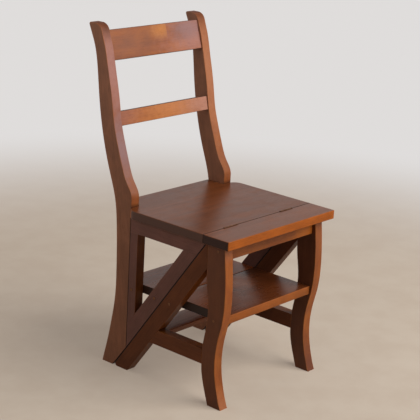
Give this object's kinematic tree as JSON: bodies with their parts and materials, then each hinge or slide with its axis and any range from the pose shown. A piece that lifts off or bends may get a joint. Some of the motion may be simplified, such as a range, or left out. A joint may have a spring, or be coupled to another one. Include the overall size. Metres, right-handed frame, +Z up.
{
  "type": "folding step chair",
  "caption": "Dark-stained wooden chair with sabre legs and an open rail back; its rear half swings forward on hinges in the seat to make a step ladder.",
  "frame": {"origin": "on the floor, in the middle of the chair's bounding box", "axes": "+X to the right as seen from in front of the chair, across the seat; +Y backwards, from the seat's front edge to the back; +Z up"},
  "size_m": [0.424, 0.518, 0.901],
  "materials": {
    "wood_frame": "red-brown stain under satin lacquer",
    "wood_panel": "red-brown stain under satin lacquer, boards glued up edge to edge",
    "wood_peg": "stained wooden pegs, ends sanded flush",
    "wood_tenon": "raw beech, glued in, hidden",
    "steel_screw": "darkened steel",
    "brass_hinge": "brass darkened to bronze, slightly worn"
  },
  "bodies": {
    "front_half": {"front_leg_left": "wood_frame", "front_leg_right": "wood_frame", "lower_stringer_left": "wood_frame", "lower_stringer_right": "wood_frame", "side_stretcher_left": "wood_frame", "side_stretcher_right": "wood_frame", "front_apron": "wood_frame", "front_seat_board": "wood_panel", "front_shelf": "wood_panel", "lower_tread": "wood_panel", "front_pegs": "wood_peg", "front_loose_tenons": "wood_tenon", "hinge_front_leaf_left": "brass_hinge", "hinge_front_leaf_right": "brass_hinge", "hinge_pin_left": "steel_screw", "hinge_pin_right": "steel_screw", "hinge_front_screws": "steel_screw"},
    "back_half": {"back_post_left": "wood_frame", "back_post_right": "wood_frame", "side_rail_left": "wood_frame", "side_rail_right": "wood_frame", "inner_post_left": "wood_frame", "inner_post_right": "wood_frame", "upper_stringer_left": "wood_frame", "upper_stringer_right": "wood_frame", "main_seat_board": "wood_panel", "rear_shelf": "wood_panel", "rear_seat_rail": "wood_frame", "crest_rail": "wood_frame", "back_rail": "wood_frame", "rear_pegs": "wood_peg", "rear_loose_tenons": "wood_tenon", "hinge_back_leaf_left": "brass_hinge", "hinge_back_leaf_right": "brass_hinge", "hinge_back_screws": "steel_screw"}
  },
  "joints": [
    {"name": "seat_hinge", "type": "hinge", "parent": "front_half", "child": "back_half", "pos_m": [0, -0.177, 0.4505], "axis": [1, 0, 0], "range_deg": [0, 180]}
  ]
}
